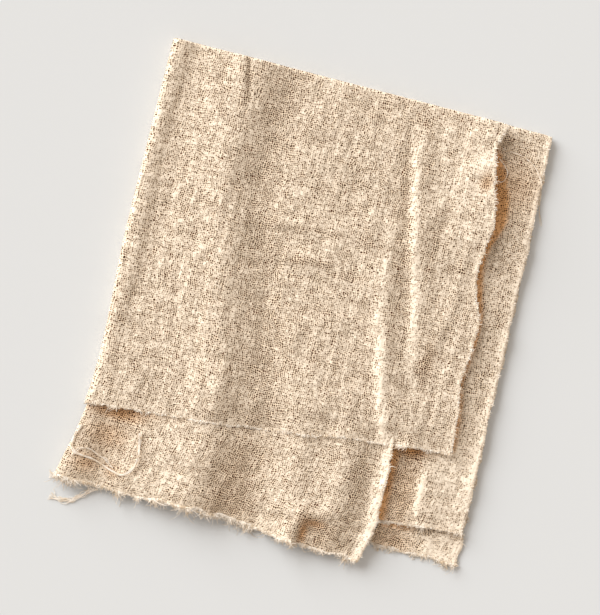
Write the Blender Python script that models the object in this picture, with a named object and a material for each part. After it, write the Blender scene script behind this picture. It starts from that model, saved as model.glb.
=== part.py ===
"""A napkin of crinkled cotton gauze, folded in half and in half again, lying flat.

The cloth is one thin sheet. The first fold runs along the far side (+Y) and makes two plies,
an outer and an inner one. The second fold runs along the left side (-X) and wraps the outer
ply round the inner one, so four layers lie on each other:

    layer 1  outer ply, on top
    layer 2  inner ply
    layer 3  inner ply
    layer 4  outer ply, flat on the table

Frame: X to the right along the first fold, Y away, Z up. The origin is the centre of the
object's box at table height. Everything is in metres once it is a mesh; the tables below
are in millimetres.
"""

import math
from collections import namedtuple

import bpy
import numpy as np

MM = 0.001

# ---- driving dimensions, in millimetres ----
THICKNESS = 1.1  # the gauze with its crinkle
PITCH = 1.75  # from the middle of one layer to the middle of the next
FAR_FOLD_Y = 119.4  # outside of the first fold
DRAPE_START = 6.0  # how far past a covered edge the layer above stays up
DRAPE_LENGTH = 14.0  # over how far it then comes down
SAG = 0.55  # how much of a layer's pitch is lost past the covered edge below it
BRIDGE_FROM = 28.0  # from this y on, layer 1 bridges the step at layer 2's covered right edge
BRIDGE_LENGTH = 30.0

# ---- how fine the sheet is ----
COLUMNS = 19  # from the left fold to a free right edge
ROWS = 21  # from the far fold to a free near edge
LEFT_FOLD_STEPS = 4  # a quarter turn of the left fold
FAR_FOLD_STEPS = 3  # a quarter turn of the far fold

# ---- outline: x of each upright edge against y, and y of each near edge against x ----
Upright = namedtuple("Upright", "y x")
Near = namedtuple("Near", "x y")

LEFT_FOLD = (Upright(119, -105.8), Upright(20, -105.0), Upright(-76, -103.2), Upright(-116, -105.8))

RIGHT_EDGE = {
    1: (
        Upright(115, 73.5),
        Upright(100, 72.5),
        Upright(75, 77.5),
        Upright(42, 78.8),
        Upright(11, 81.7),
        Upright(-54, 89.0),
    ),
    2: (
        Upright(119, 73.5),
        Upright(80, 47.0),
        Upright(40, 29.5),
        Upright(-6, 37.5),
        Upright(-56, 58.5),
        Upright(-120, 59.5),
    ),
    3: (Upright(119, 98.1), Upright(38, 101.4), Upright(-93, 104.6)),
    4: (Upright(119, 98.1), Upright(38, 101.6), Upright(-109, 105.8)),
}

NEAR_EDGE = {
    1: (Near(-103, -76.0), Near(0, -65.5), Near(89, -54.5)),
    2: (Near(-105, -115.8), Near(-30, -115.5), Near(24, -119.4), Near(58, -119.4)),
    3: (Near(-105, -115.8), Near(0, -104.5), Near(64, -97.0), Near(101, -93.0)),
    4: (Near(-103, -76.0), Near(-20, -94.5), Near(61, -110.0), Near(106, -109.5)),
}

# ---- wrinkles: a bent path with the lift in layers 3, 2 and 1, and the reach to its two sides.
# Left and right are as seen from the path's last point towards its first. ----
Bend = namedtuple("Bend", "x y layer_3 layer_2 layer_1")
Wrinkle = namedtuple("Wrinkle", "name left right path")

WRINKLES = (
    Wrinkle("trough by the left fold", 6, 12, (
        Bend(-94, 119, 0, -0.2, -1.6), Bend(-93, 30, 0, -0.2, -2.0), Bend(-90, -40, 0, -0.1, -0.4),
    )),
    Wrinkle("broad ridge", 14, 11, (
        Bend(-55, 119, 0.2, 1.0, 2.8), Bend(-59, 60, 0.2, 1.0, 3.0), Bend(-50, 10, 0.3, 1.1, 2.8),
        Bend(-43, -26, 0.5, 1.6, 3.3), Bend(-36, -80, 1.0, 1.8, 3.6),
    )),
    Wrinkle("near panel's ridge", 24, 12, (
        Bend(-42, -56, 1.6, 2.4, 0.4), Bend(-36, -84, 2.6, 4.6, 0), Bend(-34, -120, 3.0, 5.0, 0),
    )),
    Wrinkle("main trough", 10, 10, (
        Bend(-32, 119, 0, -0.3, -1.5), Bend(-40, 60, 0, -0.3, -1.9), Bend(-26, 4, 0, -0.4, -1.6),
        Bend(-13, -50, -0.2, -1.0, -2.0), Bend(-7, -120, -0.2, -1.2, 0),
    )),
    Wrinkle("middle ridge", 10, 10, (
        Bend(8, -34, 0.2, 0.6, 0.9), Bend(12, -66, 0.6, 2.0, 2.0), Bend(17, -120, 0.9, 3.0, 0),
    )),
    Wrinkle("ridge before the right band", 11, 8, (
        Bend(33, -40, 0.1, 0.4, 0.2), Bend(38, -84, 0.5, 2.6, 0), Bend(37, -120, 0.3, 1.6, 0),
    )),
    Wrinkle("long crease", 5, 9, (
        Bend(33, 112, 0, 0.1, 0.6), Bend(40, 66, 0.1, 0.3, 1.8), Bend(54, 8, 0.1, 0.3, 1.6),
        Bend(65, -46, 0.1, 0.2, 0.6),
    )),
    Wrinkle("rolled edge below", 5, 8, (
        Bend(32, 36, 0, 0, 0.3), Bend(36, -4, 0, 0.2, 1.8), Bend(53, -57, 0, 0.2, 1.8),
    )),
    Wrinkle("swell by the right edge", 12, 9, (
        Bend(66, 114, 0, 0.2, 1.2), Bend(70, 90, 0, 0.2, 1.8), Bend(76, 44, 0, 0.1, 0.3),
    )),
    Wrinkle("bulge of the fold's near end", 8, 9, (
        Bend(-98, -74, 0, 0.3, 0), Bend(-101, -116, 0.5, 2.0, 0),
    )),
    Wrinkle("rib of the lower half", 6, 7, (
        Bend(74, -52, 0.6, 0, 0), Bend(78, -76, 1.3, 0, 0), Bend(81, -94, 1.0, 0, 0),
    )),
)

# ---- places where the cloth stands clear of the layer below ----
Lift = namedtuple("Lift", "name x y reach_x reach_y layer_2 layer_1")

LIFTS = (
    Lift("arch at the left", -84, -78, 16, 14, -0.3, 2.4),
    Lift("arch at the right", 67, -57, 9, 12, 0.0, 2.2),
    Lift("open far corner", 82, 82, 22, 32, 0.0, 2.2),
)

LOFT = {1: 2.0, 2: 1.2, 3: 0.4, 4: 0.0}  # how much air the crinkle keeps under each layer
LEAST_CLEARANCE = 0.45  # between two layers

# ---- the stack: which half and ply is which layer, and how far each is from the middle ----
LAYER_OF = {(-1, 1): 1, (-1, -1): 2, (1, -1): 3, (1, 1): 4}
OUTER_LEVEL = 1.5  # the outer ply's middle, in pitches from the stack's middle
LEVELS = [step * PITCH for step in (-OUTER_LEVEL, -0.5, 0.5, OUTER_LEVEL)]  # layers 4 to 1
SETTLING_ROUNDS = 4  # an edge's x depends on y and the other way round

CREAM = (0.68, 0.55, 0.42, 1.0)


def through(rows):
    """A smooth function through a table's rows, straight on past both ends."""
    at, value = (np.array(column, float) for column in zip(*sorted(rows)))
    slope = np.gradient(value, at)

    def curve(x):
        x = np.asarray(x, float)
        held = np.clip(x, at[0], at[-1])
        i = np.clip(np.searchsorted(at, held) - 1, 0, len(at) - 2)
        span = at[i + 1] - at[i]
        f = (held - at[i]) / span
        inside = (
            value[i] * (1 + 2 * f) * (1 - f) ** 2
            + slope[i] * span * f * (1 - f) ** 2
            + value[i + 1] * f**2 * (3 - 2 * f)
            - slope[i + 1] * span * f**2 * (1 - f)
        )
        end_slope = np.where(x < at[0], slope[0], slope[-1])
        return inside + (x - held) * end_slope

    return curve


LEFT = through(LEFT_FOLD)
RIGHT = {layer: through(rows) for layer, rows in RIGHT_EDGE.items()}
NEAR = {layer: through(rows) for layer, rows in NEAR_EDGE.items()}


def ease(f):
    """0 up to f = 0, 1 from f = 1, and smooth between."""
    f = np.clip(f, 0, 1)
    return f * f * (3 - 2 * f)


def held_up(beyond):
    """How much of a layer's height still counts this far beyond its edge."""
    return 1 - ease((beyond - DRAPE_START) / DRAPE_LENGTH)


def wrinkle_lift(x, y, wrinkle):
    """How far a wrinkle lifts each layer, from the nearest place on its path."""
    nearest = np.full(np.shape(x), np.inf)
    side = np.ones(np.shape(x))
    lift = {layer: np.zeros(np.shape(x)) for layer in (3, 2, 1)}
    for a, b in zip(wrinkle.path, wrinkle.path[1:]):
        run_x, run_y = b.x - a.x, b.y - a.y
        f = np.clip(((x - a.x) * run_x + (y - a.y) * run_y) / (run_x**2 + run_y**2), 0, 1)
        away = np.hypot(x - a.x - f * run_x, y - a.y - f * run_y)
        nearer = away < nearest
        side = np.where(nearer, np.sign((y - a.y) * run_x - (x - a.x) * run_y), side)
        ends = ((3, a.layer_3, b.layer_3), (2, a.layer_2, b.layer_2), (1, a.layer_1, b.layer_1))
        for layer, start, end in ends:
            lift[layer] = np.where(nearer, start * (1 - f) + end * f, lift[layer])
        nearest = np.minimum(away, nearest)
    reach = np.where(side < 0, wrinkle.left, wrinkle.right)
    share = np.exp(-((nearest / reach) ** 2))
    return {layer: height * share for layer, height in lift.items()}


def layer_heights(x, y):
    """Height of the middle of each layer above the table."""
    loft = {layer: np.full(np.shape(x), air) for layer, air in LOFT.items()}
    for wrinkle in WRINKLES:
        for layer, height in wrinkle_lift(x, y, wrinkle).items():
            loft[layer] = loft[layer] + height
    for lift in LIFTS:
        share = np.exp(-(((x - lift.x) / lift.reach_x) ** 2) - ((y - lift.y) / lift.reach_y) ** 2)
        for layer, height in ((2, lift.layer_2), (1, lift.layer_1)):
            loft[layer] = loft[layer] + height * share

    over_4 = 1 - SAG * (1 - held_up(NEAR[4](x) - y))
    over_3 = 1 - SAG * (1 - held_up(NEAR[3](x) - y))
    bridged = ease((y - BRIDGE_FROM) / BRIDGE_LENGTH)
    over_2 = 1 - (1 - bridged) * (1 - held_up(x - RIGHT[2](y)))
    stack = {4: 0.0, 3: over_4, 2: over_4 + over_3, 1: over_4 + over_3 + over_2}
    heights = {4: np.full(np.shape(x), THICKNESS / 2)}
    for layer in (3, 2, 1):
        covered = stack[layer] - stack[layer + 1]
        floor = heights[layer + 1] + (THICKNESS + LEAST_CLEARANCE) * covered
        free = THICKNESS / 2 + PITCH * stack[layer] + np.maximum(loft[layer], 0)
        heights[layer] = np.maximum(free, floor)
    return heights


def stations(fold_steps, flat_steps):
    """(side, angle, share of the flat run) across a whole ply, with the fold in the middle."""
    bent = [(math.pi / 2 * step / fold_steps, 0.0) for step in range(fold_steps)]
    flat = [(math.pi / 2, step / flat_steps) for step in range(flat_steps + 1)]
    half = bent + flat
    return [(-1, *s) for s in reversed(half[1:])] + [(1, *s) for s in half]


def place(across, along):
    """x and y of a point of the sheet, and its level in the stack from the stack's middle.

    across: (side, angle, share) from the left fold; side -1 is the upper half.
    along: (side, angle, share) from the far fold; side +1 is the outer ply.
    """
    half, turn, run_x = across
    ply, bend, run_y = along
    layer = LAYER_OF[half, ply]
    fold_outside = OUTER_LEVEL * PITCH + THICKNESS / 2
    far_line = FAR_FOLD_Y - (PITCH + THICKNESS) / 2

    y = far_line
    for _ in range(SETTLING_ROUNDS):
        left_line = float(LEFT(y)) + fold_outside
        x = left_line + run_x * (float(RIGHT[layer](y)) - left_line)
        y = far_line - run_y * (far_line - float(NEAR[layer](x)))

    radius = PITCH * (1 + ply * math.sin(bend) / 2)
    x -= radius * math.cos(turn)
    y += PITCH / 2 * math.cos(bend)
    return x, y, -half * radius * math.sin(turn)


def napkin_sheet():
    """The middle of the cloth as one grid of quads, in metres."""
    across = stations(LEFT_FOLD_STEPS, COLUMNS)
    along = stations(FAR_FOLD_STEPS, ROWS)
    flat = np.array([place(a, b) for b in along for a in across])
    x, y, level = flat.T
    heights = layer_heights(x, y)
    at_layers = np.stack([heights[layer] for layer in (4, 3, 2, 1)], axis=1)
    z = [np.interp(flat_level, LEVELS, row) for flat_level, row in zip(level, at_layers)]

    wide = len(across)
    faces = [
        (i, i + 1, i + 1 + wide, i + wide)
        for row in range(len(along) - 1)
        for i in range(row * wide, row * wide + wide - 1)
    ]
    mesh = bpy.data.meshes.new("napkin")
    mesh.from_pydata((np.stack([x, y, z], axis=1) * MM).tolist(), [], faces)
    return mesh


def gauze_material():
    material = bpy.data.materials.new("cotton_gauze")
    material.use_nodes = True
    shader = material.node_tree.nodes["Principled BSDF"]
    shader.inputs["Base Color"].default_value = CREAM
    shader.inputs["Roughness"].default_value = 0.9
    shader.inputs["Metallic"].default_value = 0.0
    return material


def build_napkin():
    mesh = napkin_sheet()
    napkin = bpy.data.objects.new("napkin", mesh)
    bpy.context.scene.collection.objects.link(napkin)
    mesh.materials.append(gauze_material())
    mesh.shade_smooth()
    body = napkin.modifiers.new("cloth_thickness", "SOLIDIFY")
    body.thickness = THICKNESS * MM
    body.offset = 0
    return napkin


def main():
    for old in list(bpy.data.objects):
        bpy.data.objects.remove(old)
    build_napkin()


main()
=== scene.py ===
"""Looks of the folded gauze napkin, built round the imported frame.

The cloth repeats the fold of the CAD part at a finer scale: one thin sheet, folded along the
far side and then along the left side, so that four layers lie on each other. Layer 1 is on
top and layer 4 on the table. Tables are in millimetres, in the row frame seen from above:
x to the right, y away, z up.
"""
import math
from collections import namedtuple

import bpy
import numpy as np
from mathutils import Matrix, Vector


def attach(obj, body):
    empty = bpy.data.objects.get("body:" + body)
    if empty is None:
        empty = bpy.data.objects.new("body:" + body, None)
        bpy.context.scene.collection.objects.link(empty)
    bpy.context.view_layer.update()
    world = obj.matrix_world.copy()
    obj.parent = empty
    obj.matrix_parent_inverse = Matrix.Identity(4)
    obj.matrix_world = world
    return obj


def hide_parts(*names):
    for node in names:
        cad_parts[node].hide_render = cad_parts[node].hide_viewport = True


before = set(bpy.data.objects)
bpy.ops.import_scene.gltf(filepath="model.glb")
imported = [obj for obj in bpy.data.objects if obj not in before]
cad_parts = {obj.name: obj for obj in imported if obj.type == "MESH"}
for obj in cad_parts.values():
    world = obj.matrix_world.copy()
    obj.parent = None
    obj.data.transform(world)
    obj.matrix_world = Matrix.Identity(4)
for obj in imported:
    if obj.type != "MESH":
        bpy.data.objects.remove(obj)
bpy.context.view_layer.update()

MM = 0.001

# ---- the fold, as in the CAD part, in millimetres ----
CAD_THICKNESS = 1.1
PITCH = 1.75  # from the middle of one layer to the middle of the next
FAR_FOLD_Y = 119.4
OUTER_LEVEL = 1.5  # the outer ply's middle, in pitches from the stack's middle
LEVELS = [step * PITCH for step in (-OUTER_LEVEL, -0.5, 0.5, OUTER_LEVEL)]  # layers 4 to 1
SETTLING_ROUNDS = 4

# ---- the cloth ----
THICKNESS = 0.95
FINE = 1.45  # spacing of the mesh where a layer shows
HIDDEN_ACROSS = 6.0  # and where it is covered
HIDDEN_ALONG = 3.5
LEFT_FOLD_STEPS = 6
FAR_FOLD_STEPS = 5
DRAPE_START = 0.8  # how far past a covered edge the layer above stays up
DRAPE_LENGTH = 6.0  # over how far it then comes down
BRIDGE_FROM = 28.0  # from this y on, layer 1 bridges the step at layer 2's covered right edge
BRIDGE_LENGTH = 30.0
SIDE_DRAPE = 17.0  # layer 1 comes down this softly beside layer 2's covered right edge
RAGGED = 0.55  # how far the cut edges wander

Upright = namedtuple("Upright", "y x")
Near = namedtuple("Near", "x y")

LEFT_FOLD = (
    Upright(119, -105.8),
    Upright(20, -105.0),
    Upright(-76, -103.2),
    Upright(-90, -105.2),
    Upright(-112, -110.0),
)

RIGHT_EDGE = {
    1: (
        Upright(116, 73.5),
        Upright(107, 71.0),
        Upright(98, 72.6),
        Upright(88, 74.6),
        Upright(79, 77.0),
        Upright(64, 80.0),
        Upright(50, 78.2),
        Upright(38, 78.2),
        Upright(28, 81.0),
        Upright(19, 84.0),
        Upright(2, 85.4),
        Upright(-18, 84.0),
        Upright(-33, 86.8),
        Upright(-54, 88.6),
    ),
    2: (
        Upright(119, 73.5),
        Upright(80, 47.0),
        Upright(40, 29.5),
        Upright(-6, 37.5),
        Upright(-56, 58.5),
        Upright(-80, 59.4),
        Upright(-104, 59.6),
        Upright(-120, 56.0),
    ),
    3: (Upright(119, 98.1), Upright(38, 101.4), Upright(-93, 104.6)),
    4: (Upright(119, 98.1), Upright(38, 101.6), Upright(-109, 105.8)),
}

NEAR_EDGE = {
    1: (Near(-103, -76.0), Near(-60, -72.0), Near(0, -65.0), Near(50, -58.0), Near(89, -54.5)),
    2: (Near(-105, -115.8), Near(-78, -117.0), Near(-30, -115.2), Near(24, -119.2), Near(57, -119.6)),
    3: (Near(-105, -115.8), Near(0, -104.5), Near(64, -96.8), Near(101, -93.0)),
    4: (Near(-103, -76.0), Near(-20, -94.5), Near(61, -110.0), Near(106, -109.5)),
}

# ---- wrinkles: a bent path with the lift in layers 3, 2 and 1, and the reach to its two sides.
# Left and right are as seen from the path's last point towards its first. ----
Bend = namedtuple("Bend", "x y layer_3 layer_2 layer_1")
Wrinkle = namedtuple("Wrinkle", "name left right path")

WRINKLES = (
    Wrinkle("trough by the left fold", 4, 12, (
        Bend(-93, 119, 0, -0.2, -1.8), Bend(-93, 60, 0, -0.2, -2.4), Bend(-92, 35, 0, -0.2, -2.2),
        Bend(-90, -10, 0, -0.2, -1.6), Bend(-88, -45, 0, 0, -0.2),
    )),
    Wrinkle("broad ridge", 14, 10, (
        Bend(-58, 120, 0.2, 1.0, 2.3), Bend(-62, 88, 0.2, 1.0, 2.7), Bend(-61, 58, 0.2, 1.0, 2.7),
        Bend(-52, 28, 0.2, 1.0, 2.7), Bend(-49, 4, 0.3, 1.2, 2.9), Bend(-43, -26, 0.5, 1.6, 3.3),
        Bend(-37, -58, 1.2, 2.0, 3.8), Bend(-36, -84, 0.4, 0.6, 3.8),
    )),
    Wrinkle("near panel's ridge", 27, 12, (
        Bend(-42, -56, 1.6, 2.4, 0.4), Bend(-36, -84, 2.4, 4.4, 0), Bend(-34, -124, 3.0, 5.0, 0),
    )),
    Wrinkle("main trough", 9, 9, (
        Bend(-38, 120, 0, -0.3, -0.9), Bend(-42, 84, 0, -0.3, -1.4), Bend(-43, 58, 0, -0.3, -1.3),
        Bend(-36, 30, 0, -0.3, -1.1), Bend(-26, 4, 0, -0.4, -1.3), Bend(-18, -26, 0, -0.6, -1.7),
        Bend(-13, -50, -0.2, -1.1, -2.1), Bend(-8, -80, -0.2, -1.6, -1.8), Bend(-6, -124, -0.2, -1.4, 0),
    )),
    Wrinkle("middle ridge", 9, 9, (
        Bend(8, -34, 0.2, 0.6, 0.9), Bend(11, -60, 0.6, 1.8, 2.1), Bend(14, -84, 0.8, 2.4, 2.1),
        Bend(17, -102, 1.0, 3.4, 0), Bend(17, -124, 1.0, 3.6, 0),
    )),
    Wrinkle("ridge before the right band", 12, 8, (
        Bend(32, -36, 0, 0.2, 0.2), Bend(35, -60, 0.4, 2.2, 0.8), Bend(38, -84, 0.5, 3.2, 0),
        Bend(38, -104, 0.5, 2.8, 0), Bend(36, -124, 0.3, 1.5, 0),
    )),
    Wrinkle("valley beside the right band", 8, 4, (
        Bend(49, -46, 0, -0.6, 0), Bend(51, -80, 0, -1.4, 0), Bend(51, -112, 0, -0.8, 0),
    )),
    Wrinkle("long valley", 7, 2, (
        Bend(29, 108, 0, -0.1, -0.3), Bend(31, 84, 0, -0.2, -1.0), Bend(35, 60, 0, -0.2, -1.0),
        Bend(42, 24, 0, -0.2, -0.7), Bend(49, 0, 0, 0, -0.1),
    )),
    Wrinkle("long crease", 2.4, 9, (
        Bend(29, 108, 0, 0.1, 0.1), Bend(32, 92, 0.1, 0.3, 1.2), Bend(37, 70, 0.1, 0.3, 2.0),
        Bend(44, 42, 0.1, 0.3, 2.0), Bend(50, 20, 0.1, 0.3, 1.8), Bend(54, 0, 0.1, 0.3, 1.5),
        Bend(57, -14, 0.1, 0.2, 0.6), Bend(62, -30, 0.1, 0.2, 0.1),
    )),
    Wrinkle("rolled edge below", 2.6, 8, (
        Bend(29, 50, 0, 0, 0.2), Bend(31, 25, 0, 0.2, 0.8), Bend(35, 2, 0, 0.2, 1.3),
        Bend(40, -15, 0, 0.2, 2.0), Bend(46, -35, 0, 0.2, 2.1), Bend(53, -57, 0, 0.2, 2.0),
    )),
    Wrinkle("swell by the right edge", 12, 9, (
        Bend(66, 114, 0, 0.2, 1.2), Bend(70, 90, 0, 0.2, 1.9), Bend(73, 66, 0, 0.2, 1.3),
        Bend(76, 44, 0, 0.1, 0.3),
    )),
    Wrinkle("slant crease", 6, 3.2, (
        Bend(70, 26, 0, 0, 0.5), Bend(67, 6, 0, 0, 1.5), Bend(61, -16, 0, 0, 0.8),
    )),
    Wrinkle("crease at the far fold", 7, 2.5, (
        Bend(-67, 120, 0, 0.2, 1.2), Bend(-65, 108, 0, 0.2, 1.3), Bend(-61, 92, 0, 0, 0.3),
    )),
    Wrinkle("cross crease", 1.8, 4, (
        Bend(-58, 34, 0, 0, 0.3), Bend(-44, 36, 0, 0, 0.9), Bend(-28, 38.5, 0, 0, 0.8),
        Bend(0, 41.5, 0, 0, 0.5), Bend(35, 41, 0, 0, 0.2),
    )),
    Wrinkle("short cross crease", 1.6, 4, (
        Bend(-22, 21.5, 0, 0, 0.3), Bend(-12, 24, 0, 0, 1.1), Bend(2, 25, 0, 0, 0.4),
    )),
    Wrinkle("short upright crease", 5, 2.2, (
        Bend(-7, -2, 0, 0, 0.2), Bend(-6, -14, 0, 0, 1.2), Bend(-6, -26, 0, 0, 0.2),
    )),
    Wrinkle("hollow by the near corner", 9, 8, (
        Bend(-86, -68, -0.3, -0.8, 0), Bend(-85, -90, -0.6, -1.6, 0), Bend(-84, -114, -0.6, -1.2, 0),
    )),
    Wrinkle("bulge of the fold's near end", 7, 9, (
        Bend(-98, -74, 0, 0.3, 0), Bend(-99, -90, 0.5, 2.2, 0), Bend(-102, -112, 0.5, 2.2, 0),
    )),
    Wrinkle("slit at the far fold", 1.2, 1.2, (
        Bend(-65, 120, 0, 0, -0.9), Bend(-63, 110, 0, 0, -1.3), Bend(-59.5, 97, 0, 0, -0.7),
    )),
    Wrinkle("tuck at the near edge", 1.1, 6, (
        Bend(19.5, -123, 0, 3.0, 0), Bend(20.5, -113, 0, 3.0, 0), Bend(22.5, -105, 0, 2.4, 0),
        Bend(33, -102.5, 0, 1.0, 0),
    )),
    Wrinkle("rib of the lower half", 2.2, 9, (
        Bend(74, -48, 0.4, 0, 0), Bend(76, -62, 1.7, 0, 0), Bend(78, -76, 1.9, 0, 0),
        Bend(81, -94, 1.6, 0, 0),
    )),
)

# ---- a free right edge curls up over its last few millimetres ----
Rim = namedtuple("Rim", "width rise")

RIMS = {1: Rim(3.0, 0.7), 2: Rim(6.0, 1.7), 3: Rim(4.5, 0.6), 4: Rim(4.5, 0.4)}

# ---- places where the upper two layers stand up, or sink ----
Lift = namedtuple("Lift", "name x y reach_x reach_y layer_2 layer_1")

LIFTS = (
    Lift("arch at the left", -84, -77, 14, 10, -0.6, 3.8),
    Lift("arch at the right", 67, -57, 6, 9, 0.0, 3.2),
    Lift("second arch at the right", 49, -59, 7, 8, 0.0, 0.8),
    Lift("open far corner", 82, 84, 20, 22, 0.0, 1.7),
    Lift("dimple", 70, 87, 5, 6, 0.0, -1.3),
)

LOFT = {1: 2.4, 2: 1.4, 3: 0.4, 4: 0.0}  # how high above the bare stack each layer stands
EDGE_REST = {1: 0.9, 2: 0.3, 3: 0.8, 4: 0.0}  # how much of that height a free near edge loses
EDGE_REST_REACH = 8.0
SPACING = 1.1  # least height from one layer's middle to the next
EDGE_SPACING = 0.62  # the same at layer 1's near edge, where the cloth thins out
EDGE_SPACING_REACH = 5.0  # how far inside that edge the full spacing is back
SAG = 0.55  # how much of a layer's height is lost past the covered edge below it


# ------------------------------------------------------------------ small maths


def through(rows):
    """A smooth function through a table's rows, straight on past both ends."""
    at, value = (np.array(column, float) for column in zip(*sorted(rows)))
    slope = np.gradient(value, at)

    def curve(x):
        x = np.asarray(x, float)
        held = np.clip(x, at[0], at[-1])
        i = np.clip(np.searchsorted(at, held) - 1, 0, len(at) - 2)
        span = at[i + 1] - at[i]
        f = (held - at[i]) / span
        inside = (
            value[i] * (1 + 2 * f) * (1 - f) ** 2
            + slope[i] * span * f * (1 - f) ** 2
            + value[i + 1] * f**2 * (3 - 2 * f)
            - slope[i + 1] * span * f**2 * (1 - f)
        )
        end_slope = np.where(x < at[0], slope[0], slope[-1])
        return inside + (x - held) * end_slope

    return curve


def ease(f):
    """0 up to f = 0, 1 from f = 1, and smooth between."""
    f = np.clip(f, 0, 1)
    return f * f * (3 - 2 * f)


def noise(x, y, cell_x, cell_y, seed):
    """Smooth noise from -1 to 1 with cells of the given size."""
    size = 256
    lattice = np.random.default_rng(seed).uniform(-1, 1, (size, size))
    u, v = np.asarray(x) / cell_x, np.asarray(y) / cell_y
    i, j = np.floor(u).astype(int), np.floor(v).astype(int)
    f, g = ease(u - i), ease(v - j)
    i0, i1, j0, j1 = i % size, (i + 1) % size, j % size, (j + 1) % size
    near = lattice[i0, j0] * (1 - f) + lattice[i1, j0] * f
    far = lattice[i0, j1] * (1 - f) + lattice[i1, j1] * f
    return near * (1 - g) + far * g


LEFT = through(LEFT_FOLD)
RIGHT = {layer: through(rows) for layer, rows in RIGHT_EDGE.items()}
NEAR = {layer: through(rows) for layer, rows in NEAR_EDGE.items()}


# ------------------------------------------------------------------ the folded sheet


def held_up(beyond):
    """1 where the layer below still bears the cloth, falling to 0 past its edge."""
    return 1 - ease((beyond - DRAPE_START) / DRAPE_LENGTH)


def wrinkle_lift(x, y, wrinkle):
    """How far a wrinkle lifts each layer, from the nearest place on its path."""
    best = np.full(np.shape(x), np.inf)
    side = np.ones(np.shape(x))
    lifted = {3: np.zeros(np.shape(x)), 2: np.zeros(np.shape(x)), 1: np.zeros(np.shape(x))}
    for a, b in zip(wrinkle.path, wrinkle.path[1:]):
        run_x, run_y = b.x - a.x, b.y - a.y
        f = np.clip(((x - a.x) * run_x + (y - a.y) * run_y) / (run_x**2 + run_y**2), 0, 1)
        away = np.hypot(x - a.x - f * run_x, y - a.y - f * run_y)
        nearer = away < best
        side = np.where(nearer, np.sign((y - a.y) * run_x - (x - a.x) * run_y), side)
        for layer, start, end in (
            (3, a.layer_3, b.layer_3), (2, a.layer_2, b.layer_2), (1, a.layer_1, b.layer_1),
        ):
            lifted[layer] = np.where(nearer, start * (1 - f) + end * f, lifted[layer])
        best = np.minimum(away, best)
    reach = np.where(side < 0, wrinkle.left, wrinkle.right)
    share = np.exp(-((best / reach) ** 2))
    return {layer: lift * share for layer, lift in lifted.items()}


def ragged(line, along, seed):
    """A cut edge's line, wandering where yarns have come out. A seed picks the row of noise."""
    row = np.full(np.shape(along), 7.5 * seed)
    wander = 1.5 * noise(along, row, 6.5, 1.0, 33) + 0.6 * noise(along, row, 3.0, 1.0, 31)
    return line + RAGGED * (wander + 0.4 * noise(along, row, 1.6, 1.0, 32))


def layer_heights(x, y):
    """Height of the middle of each layer above the table."""
    loft = {}
    for layer, air in LOFT.items():
        inside = np.maximum(y - NEAR[layer](x), 0)
        loft[layer] = air * (1 - EDGE_REST[layer] * np.exp(-((inside / EDGE_REST_REACH) ** 2)))
    for wrinkle in WRINKLES:
        for layer, lift in wrinkle_lift(x, y, wrinkle).items():
            loft[layer] = loft[layer] + lift
    raised = {layer: np.zeros(np.shape(x)) for layer in LOFT}
    for lift in LIFTS:
        share = np.exp(-(((x - lift.x) / lift.reach_x) ** 2) - ((y - lift.y) / lift.reach_y) ** 2)
        raised[2] = raised[2] + lift.layer_2 * share
        raised[1] = raised[1] + lift.layer_1 * share

    over_4 = 1 - SAG * (1 - held_up(NEAR[4](x) - y))
    over_3 = 1 - SAG * (1 - held_up(NEAR[3](x) - y))
    bridged = ease((y - BRIDGE_FROM) / BRIDGE_LENGTH)
    over_2 = 1 - (1 - bridged) * (1 - held_up((x - RIGHT[2](y)) * DRAPE_LENGTH / SIDE_DRAPE))
    stack = {4: 0.0, 3: over_4, 2: over_4 + over_3, 1: over_4 + over_3 + over_2}
    heights = {4: np.full(np.shape(x), CAD_THICKNESS / 2)}
    for layer in (3, 2, 1):
        covered = stack[layer] - stack[layer + 1]
        floor = heights[layer + 1] + SPACING * covered
        free = CAD_THICKNESS / 2 + PITCH * stack[layer] + np.maximum(loft[layer], 0)
        heights[layer] = np.maximum(free, floor)
        if layer == 1:
            inside = np.maximum(y - NEAR[1](x), 0)
            pressed = np.exp(-((inside / EDGE_REST_REACH) ** 2))
            full = ease(inside / EDGE_SPACING_REACH)
            spaced = heights[2] + (EDGE_SPACING + (SPACING - EDGE_SPACING) * full) * covered
            heights[1] = heights[1] * (1 - pressed) + spaced * pressed
        heights[layer] = heights[layer] + raised[layer]
    for layer, rim in RIMS.items():
        inside = RIGHT[layer](y) - x
        heights[layer] = heights[layer] + rim.rise * ease(1 - inside / rim.width) * (inside < rim.width)
    return heights


def stations(fold_steps, upper_runs, lower_runs):
    """(side, angle, share) rows across a ply. A run is (share it ends at, number of steps)."""

    def half(side, runs):
        rows = [(side, math.pi / 2 * step / fold_steps, 0.0) for step in range(fold_steps)]
        start = 0.0
        for end, steps in runs:
            rows += [(side, math.pi / 2, start + (end - start) * k / steps) for k in range(steps)]
            start = end
        return rows + [(side, math.pi / 2, 1.0)]

    return np.array(half(-1, upper_runs)[:0:-1] + half(1, lower_runs))


def steps_for(length, spacing):
    """How many steps of about this spacing make up the length."""
    return max(2, round(length / spacing))


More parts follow.
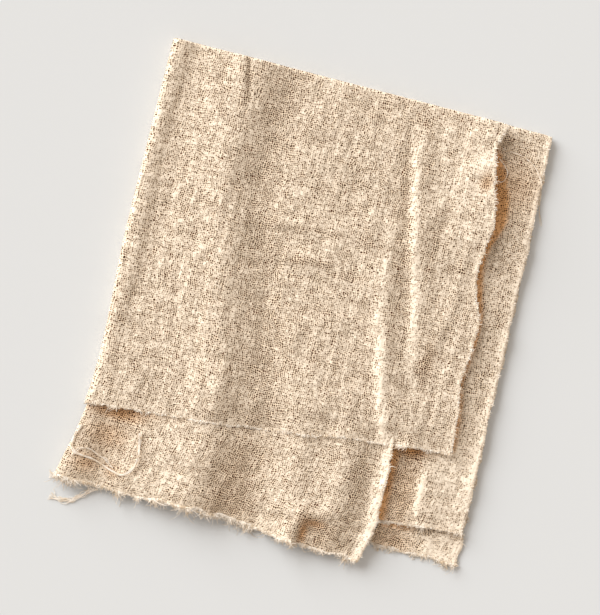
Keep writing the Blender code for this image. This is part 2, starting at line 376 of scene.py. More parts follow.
class Sheet:
    """The middle of the cloth as a grid of points, with each point's place on the flat cloth."""

    def __init__(self):
        # a ply that shows is fine all over; the others are coarse up to where they come out
        across = stations(
            LEFT_FOLD_STEPS,
            [(1.0, steps_for(190, FINE))],
            [(0.74, steps_for(152, HIDDEN_ACROSS)), (1.0, steps_for(54, FINE))],
        )
        along = stations(
            FAR_FOLD_STEPS,
            [(0.70, steps_for(160, HIDDEN_ALONG)), (1.0, steps_for(68, FINE))],
            [(1.0, steps_for(195, FINE))],
        )
        self.half, turn, run_x = (a[None, :] for a in across.T)
        self.ply, bend, run_y = (a[:, None] for a in along.T)
        self.shape = (len(along), len(across))
        upper = self.half < 0
        outer = self.ply > 0
        self.layer = np.where(upper, np.where(outer, 1, 2), np.where(outer, 4, 3))

        fold_outside = OUTER_LEVEL * PITCH + CAD_THICKNESS / 2
        far_line = FAR_FOLD_Y - (PITCH + CAD_THICKNESS) / 2
        y = np.full(self.shape, far_line)
        for _ in range(SETTLING_ROUNDS):
            left_line = LEFT(y) + fold_outside
            right_line = self.by_layer({k: ragged(RIGHT[k](y), y, k) for k in RIGHT})
            x = left_line + run_x * (right_line - left_line)
            near_line = self.by_layer({k: ragged(NEAR[k](x), x, 10 + k) for k in NEAR})
            y = far_line - run_y * (far_line - near_line)
        flat_x = x - left_line
        flat_y = far_line - y

        radius = PITCH * (1 + self.ply * np.sin(bend) / 2)
        x = x - radius * np.cos(turn)
        y = y + PITCH / 2 * np.cos(bend)
        level = -self.half * radius * np.sin(turn)

        # a point's place on the flat cloth, from the two folds
        self.s = self.half * (flat_x + PITCH * turn)
        self.t = self.ply * (flat_y + PITCH / 2 * bend)
        self.to_right_edge = (right_line - left_line) - flat_x
        self.to_near_edge = (far_line - near_line) - flat_y
        self.x, self.y = x, y
        self.z = self.level_to_height(x, y, level)
        self.crumple()

    def by_layer(self, values):
        """One value for each point, from one grid of values for each layer."""
        return sum(np.where(self.layer == k, v, 0.0) for k, v in values.items())

    def level_to_height(self, x, y, level):
        """Height of each point, from its place between the stack's layers."""
        heights = layer_heights(x, y)
        z = np.full(level.shape, np.nan)
        stack = [heights[k] for k in (4, 3, 2, 1)]
        for k in range(3):
            f = np.clip((level - LEVELS[k]) / (LEVELS[k + 1] - LEVELS[k]), 0, 1)
            between = stack[k] * (1 - f) + stack[k + 1] * f
            inside = (level >= LEVELS[k] - 1e-9) & (level <= LEVELS[k + 1] + 1e-9)
            z = np.where(inside, between, z)
        return z

    def crumple(self):
        """The gauze's own unevenness: long crinkles, cross bars and small bumps."""
        s, t = self.s, self.t
        crinkle = 0.30 * noise(s, t, 5.0, 30.0, 11) + 0.24 * noise(s, t, 2.9, 16.0, 12)
        bars = 0.26 * noise(s, t, 34.0, 5.2, 13) + 0.16 * noise(s, t, 14.0, 3.2, 16)
        bumps = 0.30 * noise(s, t, 11.0, 11.0, 14)
        amount = np.where(self.layer == 4, 0.35, 1.0)
        self.z = self.z + amount * (crinkle + bars + bumps)
        self.z = np.maximum(self.z, THICKNESS / 2)

    def normals(self):
        """The normal at each point, out of the face that the far fold turns inward."""
        points = np.stack([self.x, self.y, self.z], axis=-1)
        along_s = np.gradient(points, axis=1)
        along_t = np.gradient(points, axis=0)
        n = np.cross(along_t, along_s)
        return n / np.maximum(np.linalg.norm(n, axis=-1, keepdims=True), 1e-9)


def mesh_from(name, points, faces, flat=None):
    """A mesh in metres from points in millimetres, with the flat cloth's place as its UV map."""
    mesh = bpy.data.meshes.new(name)
    points, faces = np.asarray(points, float), np.asarray(faces, int)
    sides = faces.shape[1]
    mesh.vertices.add(len(points))
    mesh.vertices.foreach_set("co", (points * MM).ravel())
    mesh.loops.add(faces.size)
    mesh.loops.foreach_set("vertex_index", faces.ravel())
    mesh.polygons.add(len(faces))
    mesh.polygons.foreach_set("loop_start", np.arange(0, faces.size, sides))
    mesh.update(calc_edges=True)
    mesh.validate()
    if flat is not None:
        uv = mesh.uv_layers.new(name="flat")
        uv.data.foreach_set("uv", (np.asarray(flat)[faces.ravel()]).ravel())
    mesh.shade_smooth()
    made = bpy.data.objects.new(name, mesh)
    bpy.context.scene.collection.objects.link(made)
    return made


# ------------------------------------------------------------------ where the weave is open, and where light and shade are painted on


# how much more closed the weave is along a crease of layer 1, or more open if below 0, and how wide: closed
# paints a highlight on a lit crest, partly the weave pressed smooth there, and open paints shade in a
# trough, slit or shaded crease
CREASE_WEAVE_AND_PAINTED_LIGHT = {
    "long crease": (0.85, 2.1),
    "rolled edge below": (0.85, 2.3),
    "slit at the far fold": (-1.0, 1.3),
    "cross crease": (-0.5, 1.0),
    "short cross crease": (-0.8, 1.1),
    "main trough": (-0.45, 8.0),
    "long valley": (-0.35, 5.0),
}

Patch = namedtuple("Patch", "layer x y reach_x reach_y closed deep")

# places where light and shade are painted on: the weave lies closed, lighter, or open, darker, and the last
# column is painted shade
PATCHES = (
    Patch(1, -99, 60, 4, 70, 0.25, 0.0),
    Patch(1, 66, 88, 13, 30, 0.4, 0.0),
    Patch(1, 70.5, 87, 3, 4.5, -1.1, 0.45),
    Patch(1, 64, -10, 3, 9, -0.9, 0.10),
    Patch(1, 53, 52, 3, 12, -0.5, 0.0),
    Patch(2, -54, -97, 20, 26, 0.1, 0.0),
    Patch(2, -18, -100, 13, 28, -0.6, 0.08),
    Patch(2, -87, -89, 10, 7, -0.5, 0.36),
    Patch(2, -95, -106, 6, 5, -0.4, 0.45),
    Patch(2, -80, -107, 4, 4, -0.2, 0.30),
    Patch(2, -84, -77.5, 12, 3.0, -0.7, 0.75),
    Patch(2, 46, -84, 6, 22, -0.5, 0.0),
    Patch(2, 23.8, -112, 2.2, 7, -0.8, 0.85),
    Patch(2, 28, -106.5, 6, 2.2, -0.8, 0.70),
    Patch(2, 33, -111, 9, 8, -0.6, 0.10),
    Patch(3, 68, -58.5, 6, 3.5, -0.8, 0.75),
    Patch(3, 68, -78, 8, 22, -0.7, 0.22),
    Patch(3, 78, -77, 1.7, 15, 1.1, 0.0),
    Patch(3, 92, -68, 11, 26, 0.5, 0.0),
    Patch(3, 84, 88, 12, 13, -0.4, 0.30),
    Patch(4, 69, -106, 12, 8, -0.7, 0.22),
    Patch(4, 95, -104, 14, 7, 0.6, 0.0),
)


def patch_share(sheet, patch):
    """1 in a patch's middle on its own layer, fading out round it."""
    away = ((sheet.x - patch.x) / patch.reach_x) ** 2 + ((sheet.y - patch.y) / patch.reach_y) ** 2
    return np.exp(-away) * (sheet.layer == patch.layer)


# how far past layer 1's right edge the painted shade on layer 3 comes out, as (y, width)
GAP_WIDTH = through((
    (118, 1.5), (104, 3.4), (98, 6.2), (89, 8.4), (70, 7.8), (60, 4.4), (33, 4.2), (12, 2.6), (-40, 2.4),
))
SHADE_STARTS = -7.0  # where the shade starts, this far under a covering edge
SHADE_GROWS = 4.0  # over how far it then grows to its full depth


def strip(past, width, soft):
    """1 from just under an edge to width past it, and 0 further under it."""
    return ease((past - SHADE_STARTS) / SHADE_GROWS) * ease((width - past) / soft)


def painted_gap_shade(sheet):
    """Painted shade: how much of the warm shade tint a point gets, where the cloth lies in shadow under a
    lifted edge and only dim light comes through the gauze.
    """
    x, y, layer = sheet.x, sheet.y, sheet.layer
    below_1, below_3 = NEAR[1](x) - y, NEAR[3](x) - y
    shade = np.zeros(x.shape)
    beside_1 = ease((110 - y) / 8) * ease((y + 55) / 6)  # between the far corner and the near edge
    # painted shade: on layer 3 beside layer 1's lifted right edge and under its right arch, on layer 2
    # under its left arch, on layer 3 beside layer 2's rim, and on layer 4 under layer 3's near edge
    right_gap = strip(x - RIGHT[1](y), GAP_WIDTH(y), 1.8) * beside_1
    left_arch = 0.8 * np.exp(-(((x + 84) / 15) ** 2)) * strip(below_1, 5.0, 3.0)
    right_arch = np.exp(-(((x - 68) / 8) ** 2)) * strip(below_1, 5.5, 4.0)
    rim_gap = strip(x - RIGHT[2](y), 6.0, 5.0) * ease((-48 - y) / 6)
    under_3 = 0.9 * strip(below_3, 4.5, 4.0) * ease((x - 60) / 5) * ease((84 - x) / 10)
    shade = np.where(layer == 2, left_arch, shade)
    shade = np.where(layer == 3, np.maximum(right_gap, np.maximum(right_arch, rim_gap)), shade)
    shade = np.where(layer == 4, under_3, shade)
    # and the painted shade set in the patches
    for patch in PATCHES:
        shade = np.maximum(shade, patch.deep * patch_share(sheet, patch))
    return shade


def along_crease(x, y, path, width):
    """1 along a wrinkle where it lifts or sinks layer 1 the most, fading to its sides and ends."""
    most = max(abs(bend.layer_1) for bend in path)
    share = np.zeros(np.shape(x))
    for a, b in zip(path, path[1:]):
        run_x, run_y = b.x - a.x, b.y - a.y
        f = np.clip(((x - a.x) * run_x + (y - a.y) * run_y) / (run_x**2 + run_y**2), 0, 1)
        away = np.hypot(x - a.x - f * run_x, y - a.y - f * run_y)
        lifted = np.abs(a.layer_1 * (1 - f) + b.layer_1 * f) / most
        share = np.maximum(share, np.sqrt(lifted) * np.exp(-((away / width) ** 2)))
    return share


RIM_WIDTH = (2.2, 8.0, 4.5, 4.5)  # closed weave along the right edge of layers 1 to 4
RIM_CLOSED = 0.85
NEAR_RIM_WIDTH = 2.5
NEAR_RIM_CLOSED = 0.7


def weave_closing_and_painted_light(sheet):
    """How much more closed than usual the weave is, up to 1, or more open, down to -1: closed along the cut
    rims, and painted light and shade from the patches and creases, lighter where closed and darker where
    open.
    """
    rim = ease(1 - sheet.to_right_edge / np.choose(sheet.layer - 1, RIM_WIDTH))
    near = ease(1 - sheet.to_near_edge / NEAR_RIM_WIDTH)
    closed = np.maximum(RIM_CLOSED * rim, NEAR_RIM_CLOSED * near)
    for patch in PATCHES:
        closed = closed + patch.closed * patch_share(sheet, patch)
    for wrinkle in WRINKLES:
        if wrinkle.name in CREASE_WEAVE_AND_PAINTED_LIGHT:
            amount, width = CREASE_WEAVE_AND_PAINTED_LIGHT[wrinkle.name]
            share = along_crease(sheet.x, sheet.y, wrinkle.path, width)
            closed = closed + amount * share * (sheet.layer == 1)
    return np.clip(closed, -1, 1)


EDGE_THINNESS = 0.22  # the cloth's thickness at its rim, as a share of the whole
EDGE_THINS_OVER = 3.5
YARN_RELIEF = 0.18  # how much the thickness varies
YARN_RELIEF_CELL = 2.6


def cloth_object(sheet):
    """Both faces of the sheet, joined round its rim."""
    rows, columns = sheet.shape
    middle = np.stack([sheet.x, sheet.y, sheet.z], axis=-1)
    normal = sheet.normals()
    s, t = sheet.s, sheet.t
    rim_distance = np.minimum(sheet.to_near_edge, sheet.to_right_edge)
    taper = EDGE_THINNESS + (1 - EDGE_THINNESS) * ease(rim_distance / EDGE_THINS_OVER)
    relief = 1 + YARN_RELIEF * noise(s, t, YARN_RELIEF_CELL, YARN_RELIEF_CELL, 21)
    body = (THICKNESS / 2 * taper * relief)[..., None]
    upper = middle + normal * body
    lower = middle - normal * body
    points = np.concatenate([upper.reshape(-1, 3), lower.reshape(-1, 3)])
    points[:, 2] = np.maximum(points[:, 2], 0.0)
    index = np.arange(rows * columns).reshape(rows, columns)
    a, b, c, d = index[:-1, :-1], index[:-1, 1:], index[1:, 1:], index[1:, :-1]
    top = np.stack([a, b, c, d], axis=-1).reshape(-1, 4)
    under = top[:, ::-1] + rows * columns
    rim = np.concatenate([index[0, :], index[1:, -1], index[-1, -2::-1], index[-2:0:-1, 0]])
    turned = np.roll(rim, -1)
    walls = np.stack([turned, rim, rim + rows * columns, turned + rows * columns], axis=-1)
    flat = np.stack([s, t], axis=-1).reshape(-1, 2) * MM
    faces = np.concatenate([top, under, walls])[:, ::-1]  # turned to face outward
    made = mesh_from("gauze_cloth", points, faces, np.concatenate([flat, flat]))
    # the material's point attributes: the painted shade, and the weave's closing with its painted light and
    # shade
    for name, value in (("deep", painted_gap_shade(sheet)), ("closed_weave_and_painted_light", weave_closing_and_painted_light(sheet))):
        layer = made.data.attributes.new(name=name, type="FLOAT", domain="POINT")
        layer.data.foreach_set("value", np.tile(value.ravel(), 2))
    return made


# ------------------------------------------------------------------ fray and loose yarns


def tubes(paths, radii, sides):
    """Tubes round many paths of the same number of points, as points and four-sided faces."""
    count, steps = paths.shape[:2]
    along = np.gradient(paths, axis=1)
    along /= np.maximum(np.linalg.norm(along, axis=-1, keepdims=True), 1e-9)
    across = np.stack([-along[..., 1], along[..., 0], np.zeros((count, steps))], axis=-1)
    across /= np.maximum(np.linalg.norm(across, axis=-1, keepdims=True), 1e-9)
    up = np.cross(along, across)
    ring = []
    for k in range(sides):
        angle = 2 * math.pi * k / sides
        ring.append(paths + radii[..., None] * (across * math.cos(angle) + up * math.sin(angle)))
    points = np.stack(ring, axis=2)  # thread, step, side
    index = np.arange(count * steps * sides).reshape(count, steps, sides)
    after = np.roll(index, -1, axis=2)
    a, b, c, d = index[:, :-1], index[:, 1:], after[:, 1:], after[:, :-1]
    faces = np.stack([a, d, c, b], axis=-1).reshape(-1, 4)
    return points.reshape(-1, 3), faces


def top_below(layer, x, y):
    """Height of what a thread off this layer's edge would come to lie on."""
    heights = layer_heights(x, y)
    top = np.zeros(np.shape(x))
    for lower in range(4, layer, -1):
        inside = (x < RIGHT[lower](y)) & (y > NEAR[lower](x)) & (x > LEFT(y))
        top = np.where(inside, np.maximum(top, heights[lower] + THICKNESS / 2), top)
    return top


THREAD_STEPS = 4
THREAD_ROOT = 0.9  # a thread starts this far inside its edge
LONG_SHARE, LONGER_BY, LONGEST = 0.03, 2.6, 3.6  # a few threads are longer, up to a limit
THREAD_RADIUS = (0.12, 0.26)
THREAD_CLEARANCE = 0.12  # from a thread's middle down to what it lies on


def fray(name, layer, points, outward, per_mm, length, spread, seed):
    """Short threads standing out of a cut edge. outward is +1 if the cloth lies left of its line."""
    rng = np.random.default_rng(seed)
    step = np.linalg.norm(np.diff(points[:, :2], axis=0), axis=1)
    run = np.concatenate([[0], np.cumsum(step)])
    count = int(run[-1] * per_mm)
    at = np.sort(rng.uniform(0, run[-1], count))
    clump = 0.5 + 0.5 * noise(at, np.full(count, 3.0 * seed), 2.2, 1.0, 41)
    base = np.stack([np.interp(at, run, points[:, k]) for k in range(3)], axis=-1)
    ahead = np.stack([np.interp(at + 1.0, run, points[:, k]) for k in range(2)], axis=-1)
    behind = np.stack([np.interp(at - 1.0, run, points[:, k]) for k in range(2)], axis=-1)
    tangent = ahead - behind
    heading = np.arctan2(tangent[:, 1], tangent[:, 0]) - outward * math.pi / 2
    lean = 0.5 * noise(at, np.full(count, 5.0 * seed), 3.0, 1.0, 42)
    heading = heading + lean + rng.normal(0, spread, count)
    # long threads stand together in clumps, with almost bare edge between them
    size = length * (0.10 + 1.3 * clump**1.5) * np.exp(rng.normal(0, 0.35, count))
    size = np.where(rng.uniform(size=count) < LONG_SHARE, size * LONGER_BY, size)
    size = np.minimum(size, LONGEST * length)
    turn = rng.normal(0, 1.3, count)
    rise = rng.normal(0.30, 0.30, count)
    path = np.zeros((count, THREAD_STEPS + 1, 3))
    path[:, 0] = base
    path[:, 0, :2] -= THREAD_ROOT * np.stack([np.cos(heading), np.sin(heading)], axis=-1)
    path[:, 0, 2] += rng.uniform(-0.1, 0.25, count)
    stride = (size + THREAD_ROOT) / THREAD_STEPS
    for k in range(1, THREAD_STEPS + 1):
        angle = heading + turn * (k - 1) / THREAD_STEPS
        path[:, k, 0] = path[:, k - 1, 0] + stride * np.cos(angle)
        path[:, k, 1] = path[:, k - 1, 1] + stride * np.sin(angle)
        path[:, k, 2] = path[:, k - 1, 2] + stride * (rise - 0.16 * k)  # it bends down on its way
    x, y = path[..., 0], path[..., 1]
    path[..., 2] = np.maximum(path[..., 2], top_below(layer, x, y) + THREAD_CLEARANCE)
    thick = rng.uniform(*THREAD_RADIUS, (count, 1)) * np.linspace(1.15, 0.55, THREAD_STEPS + 1)
    made_points, faces = tubes(path, thick, 3)
    return mesh_from(name, made_points, faces)


def smooth_path(rows, spacing):
    """A smooth curve through points, resampled."""
    rows = np.array(rows, float)
    run = np.concatenate([[0], np.cumsum(np.linalg.norm(np.diff(rows[:, :2], axis=0), axis=1))])
    at = np.linspace(0, run[-1], max(6, int(run[-1] / spacing)))
    curves = [through(list(zip(run, rows[:, k]))) for k in range(3)]
    return np.stack([curve(at) for curve in curves], axis=-1)


# a loose yarn: the layer it lies on, how many strands it has, their radius, how far they spread,
# and rows of (x, y, clear height)
Yarn = namedtuple("Yarn", "layer strands radius spread rows")
YARN_SPACING = 0.8
ROWS_PER_TURN = 3.5  # the strands twist once round each other over this many rows
TIP_THINNING = 0.45

YARNS = {
    "loop_yarn": Yarn(2, 6, 0.25, 0.75, (
        (-70.5, -84, 0.0), (-69.3, -91, 0.5), (-68.6, -96, 0.9), (-70.0, -103.5, 0.8), (-74.5, -107.6, 0.6),
        (-80.0, -107.0, 0.7), (-86.6, -104.4, 0.6), (-91.5, -103.2, 0.4), (-96.5, -102.6, 0.4),
        (-101.0, -101.8, 0.3), (-103.6, -98.0, 0.4), (-103.2, -93.0, 0.5), (-101.0, -87.0, 0.2),
    )),
    "second_yarn": Yarn(2, 3, 0.20, 0.7, (
        (-80.0, -105.5, 0.3), (-84.5, -102.0, 0.5), (-89.0, -100.4, 0.4), (-94.0, -98.8, 0.4),
        (-99.0, -99.5, 0.3), (-102.5, -104.0, 0.2),
    )),
    "tuft_yarn": Yarn(4, 12, 0.18, 2.2, (
        (-86.0, -116.8, 1.2), (-89.0, -119.8, 0.8), (-93.0, -124.0, 0.3), (-97.5, -127.6, 0.0),
        (-102.5, -128.4, 0.0), (-108.5, -127.0, 0.0),
    )),
    "corner_yarn": Yarn(4, 10, 0.16, 2.0, (
        (-101.0, -113.5, 1.2), (-104.5, -115.5, 0.8), (-108.0, -116.6, 0.4), (-111.5, -117.2, 0.0),
    )),
    "rim_yarn": Yarn(3, 2, 0.18, 0.35, (
        (74.5, 106.5, 0.2), (80.0, 106.0, 0.3), (86.0, 105.0, 0.4), (93.0, 101.5, 0.4), (97.5, 96.0, 0.4),
        (100.0, 89.0, 0.3), (101.0, 81.0, 0.3), (104.0, 72.7, 0.0),
    )),
    "edge_loop": Yarn(3, 2, 0.16, 0.3, (
        (74.0, 101.0, 1.0), (77.5, 98.5, 0.9), (80.2, 94.5, 0.6), (79.3, 90.5, 0.5), (76.4, 88.4, 0.8),
    )),
}


def loose_yarn(name, yarn, seed):
    """The strands of one yarn, twisted loosely round its route and held clear of what lies below."""
    rng = np.random.default_rng(seed)
    middle = smooth_path(yarn.rows, YARN_SPACING)
    steps = len(middle)
    x, y = middle[:, 0], middle[:, 1]
    middle[:, 2] += top_below(yarn.layer - 1, x, y) + yarn.radius
    along = np.gradient(middle, axis=0)
    across = np.stack([-along[:, 1], along[:, 0]], axis=-1)
    across /= np.linalg.norm(across, axis=-1, keepdims=True)
    share = np.linspace(0, 1, steps)
    paths = []
    for k in range(yarn.strands):
        phase = 2 * math.pi * (k / yarn.strands + share * len(yarn.rows) / ROWS_PER_TURN)
        stray = yarn.spread * (1 - 0.5 * np.sin(math.pi * share))
        wander = stray * (0.7 * np.sin(phase) + 0.8 * noise(share * 9, np.full(steps, 4.0 * k), 1, 1, seed))
        path = middle.copy()
        path[:, :2] += across * wander[:, None]
        path[:, 2] += 0.6 * yarn.radius * (1 + np.cos(phase)) + rng.uniform(0, 0.15)
        path[:, 2] = np.maximum(path[:, 2], top_below(yarn.layer - 1, path[:, 0], path[:, 1]) + yarn.radius)
        paths.append(path)
    radii = yarn.radius * (1 - TIP_THINNING * share**3) * np.ones((yarn.strands, 1))
    points, faces = tubes(np.array(paths), radii, 5)
    return mesh_from(name, points, faces)


def edge_line(sheet, layer, near):
    """The middle of a cut edge, from left to right or from far to near."""
    points = np.stack([sheet.x, sheet.y, sheet.z], axis=-1)
    if near:
        row = 0 if layer in (2, 3) else -1
        keep = sheet.layer[row] == layer
        line = points[row][keep]
        return line[np.argsort(line[:, 0])]
    column = 0 if layer in (1, 2) else -1
    keep = sheet.layer[:, column] == layer
    line = points[:, column][keep]
    return line[np.argsort(-line[:, 1])]


# ------------------------------------------------------------------ material


CELL = 0.00098  # one cell of the weave, in metres
WIDE_DRIFT, FINE_DRIFT = 0.0040, 0.0015  # how far its yarns wander, in metres
COTTON_CLOSED = (1.0, 0.885, 0.73, 1)
COTTON_THIN = (0.96, 0.79, 0.585, 1)
# painted shade in the weave's gaps: the holes between the yarns are real, their dark brown stands for the
# shadowed cloth seen through them
PAINTED_GAP_SHADE_BROWN = (0.09, 0.014, 0.0, 1)
PAINTED_GAP_SHADE_DARK = (0.04, 0.012, 0.0, 1)
# painted shade: the warm brown that the cloth's colour is multiplied by where it lies in shadow under a
# lifted edge
PAINTED_SHADE_TINT = (1.0, 0.68, 0.40, 1)
RELIEF = 0.0008  # the bump's height, in metres
GAP_SINKS = 0.4
FIBRE_DULL = (0.78, 0.64, 0.47, 1)
FIBRE_PALE = (1.0, 0.93, 0.83, 1)
FLOOR_GREY = (0.718, 0.749, 0.768, 1)


def new_material(name, roughness, specular):
    """A material with its node tree and its shader."""
    material = bpy.data.materials.new(name)
    material.use_nodes = True
    shader = material.node_tree.nodes["Principled BSDF"]
    shader.inputs["Roughness"].default_value = roughness
    shader.inputs["Specular IOR Level"].default_value = specular
    return material, material.node_tree, shader


def put(tree, socket, value):
    """Give a socket a constant, or link it to another node's output."""
    if isinstance(value, (int, float, tuple)):
        socket.default_value = value
    else:
        tree.links.new(value, socket)


def math_node(tree, operation, *values):
    node = tree.nodes.new("ShaderNodeMath")
    node.operation = operation
    for socket, value in zip(node.inputs, values):
        put(tree, socket, value)
    return node.outputs[0]


def noise_node(tree, vector, scale, detail, rough=0.5):
    node = tree.nodes.new("ShaderNodeTexNoise")
    node.inputs["Scale"].default_value = scale
    node.inputs["Detail"].default_value = detail
    node.inputs["Roughness"].default_value = rough
    tree.links.new(vector, node.inputs["Vector"])
    return node.outputs


def ramp(tree, value, low, high, to_low=0.0, to_high=1.0):
    node = tree.nodes.new("ShaderNodeMapRange")
    node.inputs["From Min"].default_value = low
    node.inputs["From Max"].default_value = high
    node.inputs["To Min"].default_value = to_low
    node.inputs["To Max"].default_value = to_high
    tree.links.new(value, node.inputs["Value"])
    return node.outputs[0]


def channels(tree, colour):
    node = tree.nodes.new("ShaderNodeSeparateColor")
    tree.links.new(colour, node.inputs[0])
    return node.outputs


def colour_mix(tree, factor, a, b, blend="MIX"):
    node = tree.nodes.new("ShaderNodeMix")
    node.data_type = "RGBA"
    node.blend_type = blend
    put(tree, node.inputs["Factor"], factor)
    put(tree, node.inputs["A"], a)
    put(tree, node.inputs["B"], b)
    return node.outputs["Result"]


def attribute(tree, name):
    node = tree.nodes.new("ShaderNodeAttribute")
    node.attribute_name = name
    return node.outputs["Fac"]


def gauze_material():
    """Open cotton weave: dark gaps between the yarns, wider or closed by chance, by the crinkle and by
    painted light and shade, with the gaps' dark brown and a tint under lifted edges as painted shade.
    """
    material, tree, shader = new_material("cotton_gauze", 0.92, 0.05)
    place = tree.nodes.new("ShaderNodeUVMap")
    place.uv_map = "flat"
    flat = place.outputs[0]
    split = tree.nodes.new("ShaderNodeSeparateXYZ")
    tree.links.new(flat, split.inputs[0])

    def stretched(x, y):
        node = tree.nodes.new("ShaderNodeMapping")
        node.inputs["Scale"].default_value = (x, y, 1)
        tree.links.new(flat, node.inputs["Vector"])
        return node.outputs[0]

    def drift(channel, scale, amount):
        """How far a yarn is pushed aside, in metres."""
        noisy = noise_node(tree, flat, scale, 1)
        return math_node(tree, "MULTIPLY", channels(tree, noisy["Color"])[channel], amount)

    def yarn_count(axis, wide, fine):
        """The place along one axis, pushed aside, counted in cells."""
        pushed = math_node(tree, "ADD", drift(*wide, WIDE_DRIFT), drift(*fine, FINE_DRIFT))
        pushed = math_node(tree, "ADD", pushed, split.outputs[axis])
        return math_node(tree, "DIVIDE", pushed, CELL)

    def wave(count):
        return math_node(tree, "SINE", math_node(tree, "MULTIPLY", count, math.pi))

    # the weave: yarns cross at every cell's corner and leave an open gap between them
    cell_u = yarn_count(0, (0, 90), (1, 520))
    cell_v = yarn_count(1, (2, 90), (1, 480))
    hollow = math_node(tree, "ABSOLUTE", math_node(tree, "MULTIPLY", wave(cell_u), wave(cell_v)))
    corner = tree.nodes.new("ShaderNodeCombineXYZ")
    tree.links.new(math_node(tree, "FLOOR", cell_u), corner.inputs[0])
    tree.links.new(math_node(tree, "FLOOR", cell_v), corner.inputs[1])
    chance = tree.nodes.new("ShaderNodeTexWhiteNoise")
    chance.noise_dimensions = "2D"
    tree.links.new(corner.outputs[0], chance.inputs["Vector"])

    # the crinkle, about 1.1 in the middle: small bumps, long streaks and cross bars
    pebble = noise_node(tree, stretched(1, 1), 170, 3, 0.6)["Fac"]
    streak = noise_node(tree, stretched(1, 0.14), 400, 2)["Fac"]
    bars = noise_node(tree, stretched(0.14, 1), 400, 2)["Fac"]
    crinkle = math_node(tree, "MULTIPLY_ADD", streak, 0.7, pebble)
    crinkle = math_node(tree, "MULTIPLY_ADD", bars, 0.5, crinkle)

    # how closed the weave is, and from that how wide a cell's gap is; the weave attribute adds painted
    # light and shade, lighter where closed and darker where open
    deep = attribute(tree, "deep")
    closed = math_node(tree, "MULTIPLY_ADD", chance.outputs["Value"], 0.8, crinkle)
    closed = math_node(tree, "MULTIPLY_ADD", attribute(tree, "closed_weave_and_painted_light"), 0.65, closed)
    closed = math_node(tree, "MULTIPLY_ADD", deep, 0.25, closed)
    thin = ramp(tree, closed, 1.14, 2.10, 1.0, 0.0)
    grain = noise_node(tree, stretched(1, 1), 1500, 1)["Fac"]
    uneven = math_node(tree, "MULTIPLY_ADD", grain, 0.8, math_node(tree, "SUBTRACT", hollow, 0.4))
    gap = math_node(tree, "MULTIPLY", thin, ramp(tree, uneven, 0.28, 0.60))

    # painted shade: the gaps get a dark brown for the shadowed cloth seen through the holes
    tone = channels(tree, chance.outputs["Color"])[1]
    shade = colour_mix(tree, tone, PAINTED_GAP_SHADE_BROWN, PAINTED_GAP_SHADE_DARK)
    cotton = colour_mix(tree, thin, COTTON_CLOSED, COTTON_THIN)
    woven = colour_mix(tree, gap, cotton, shade)
    # painted shade: the cloth's colour is multiplied by a warm brown where it lies in shadow under a lifted
    # edge
    tree.links.new(colour_mix(tree, deep, woven, PAINTED_SHADE_TINT, "MULTIPLY"), shader.inputs["Base Color"])

    bump = tree.nodes.new("ShaderNodeBump")
    bump.inputs["Strength"].default_value = 1.0
    bump.inputs["Distance"].default_value = RELIEF
    sunk = math_node(tree, "MULTIPLY", gap, GAP_SINKS)
    tree.links.new(math_node(tree, "SUBTRACT", crinkle, sunk), bump.inputs["Height"])
    tree.links.new(bump.outputs["Normal"], shader.inputs["Normal"])
    return material


def yarn_material():
    """Loose cotton fibre: the cloth's cream, a little uneven along its length."""
    material, tree, shader = new_material("cotton_fibre", 0.9, 0.15)
    shader.inputs["Sheen Weight"].default_value = 0.15
    shader.inputs["Sheen Roughness"].default_value = 0.6
    where = tree.nodes.new("ShaderNodeTexCoord")
    uneven = noise_node(tree, where.outputs["Object"], 350, 2)["Fac"]
    cream = colour_mix(tree, ramp(tree, uneven, 0.3, 0.6), FIBRE_DULL, FIBRE_PALE)
    tree.links.new(cream, shader.inputs["Base Color"])
    return material


def floor_material():
    material, _, shader = new_material("pale_floor", 0.8, 0.2)
    shader.inputs["Base Color"].default_value = FLOOR_GREY
    return material


# ------------------------------------------------------------------ studio

VIEW_TURN = math.radians(14.6)  # the napkin lies turned by this much in the picture
VIEW_CENTRE = (-6.8, 0.0)
VIEW_HEIGHT_MM = 320.0  # what the frame's long side covers
CAMERA_DISTANCE = 1.4
CAMERA_HEIGHT = CAMERA_DISTANCE + 0.004
SENSOR = 36.0
FLOOR_SIZE = 6
FLOOR_LEVEL = -0.0002
SKY = (1.0, 0.88, 0.775, 1)
SKY_STRENGTH = 0.56
KEY_SOFTNESS = math.radians(52)
KEY_ENERGY = 4.25
KEY_COLOUR = (1.0, 1.0, 1.0)
KEY_LIFT = math.radians(23.5)  # how high the light stands
KEY_FROM = (-0.86, 0.51)  # from the left and the far side


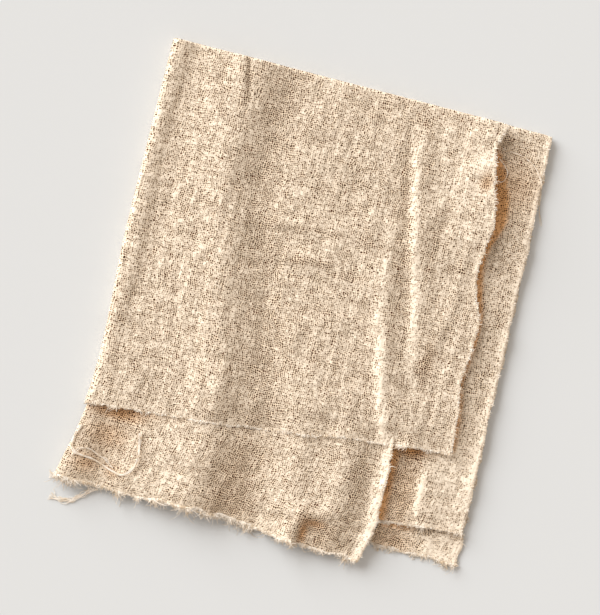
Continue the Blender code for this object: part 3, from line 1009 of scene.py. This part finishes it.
def studio():
    """A camera straight above, a pale floor, a soft sky and one low soft light."""
    scene = bpy.context.scene
    scene.view_settings.view_transform = "Standard"
    camera = bpy.data.cameras.new("camera")
    camera.sensor_width = SENSOR
    camera.lens = SENSOR * CAMERA_DISTANCE / (VIEW_HEIGHT_MM * MM)
    eye = bpy.data.objects.new("camera", camera)
    eye.location = (VIEW_CENTRE[0] * MM, VIEW_CENTRE[1] * MM, CAMERA_HEIGHT)
    eye.rotation_euler = (0, 0, VIEW_TURN)
    scene.collection.objects.link(eye)
    scene.camera = eye

    bpy.ops.mesh.primitive_plane_add(size=FLOOR_SIZE, location=(0, 0, FLOOR_LEVEL))
    floor = bpy.context.object
    floor.name = "floor"
    floor.data.materials.append(floor_material())

    world = bpy.data.worlds.new("studio")
    world.use_nodes = True
    sky = world.node_tree.nodes["Background"]
    sky.inputs["Color"].default_value = SKY
    sky.inputs["Strength"].default_value = SKY_STRENGTH
    scene.world = world

    key = bpy.data.lights.new("key", "SUN")
    key.angle = KEY_SOFTNESS
    key.energy = KEY_ENERGY
    key.color = KEY_COLOUR
    lamp = bpy.data.objects.new("key", key)
    level = math.cos(KEY_LIFT)
    toward = Vector((KEY_FROM[0] * level, KEY_FROM[1] * level, math.sin(KEY_LIFT)))
    lamp.rotation_mode = "QUATERNION"
    lamp.rotation_quaternion = toward.to_track_quat("Z", "Y")
    scene.collection.objects.link(lamp)


# ------------------------------------------------------------------ put together

# what frays: a layer's edge, from where to where along it (x of a near edge, y of a right one),
# threads per millimetre, their length, and how much their headings spread, in radians
Fray = namedtuple("Fray", "layer edge start end per_mm length spread")

FRAY = (
    Fray(1, "near", -112, 100, 6.0, 1.3, 0.65),
    Fray(2, "near", -112, 60, 17.0, 2.6, 0.60),
    Fray(3, "near", 52, 110, 8.0, 1.9, 0.60),
    Fray(4, "near", 52, 110, 15.0, 2.4, 0.60),
    Fray(1, "right", -60, 120, 3.5, 1.0, 0.60),
    Fray(2, "right", -121, -55, 3.0, 0.9, 0.60),
    Fray(3, "right", -96, 120, 1.5, 0.5, 0.5),
    Fray(4, "right", -111, 120, 2.0, 0.6, 0.5),
)
FIRST_FRAY_SEED = 50
FIRST_YARN_SEED = 70


def frayed_edge(sheet, row, seed):
    near = row.edge == "near"
    line = edge_line(sheet, row.layer, near)
    along = line[:, 0 if near else 1]
    line = line[(along > row.start) & (along < row.end)]
    outward = 1 if near else -1
    name = f"fray_{row.edge}_{row.layer}"
    return fray(name, row.layer, line, outward, row.per_mm, row.length, row.spread, seed)


sheet = Sheet()
gauze = gauze_material()
cloth = cloth_object(sheet)
cloth.data.materials.append(gauze)
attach(cloth, "root")
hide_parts("napkin")

fibre = yarn_material()
extras = [frayed_edge(sheet, row, FIRST_FRAY_SEED + k) for k, row in enumerate(FRAY)]
extras += [loose_yarn(name, yarn, FIRST_YARN_SEED + k) for k, (name, yarn) in enumerate(YARNS.items())]
for extra in extras:
    extra.data.materials.append(fibre)
    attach(extra, "root")
studio()
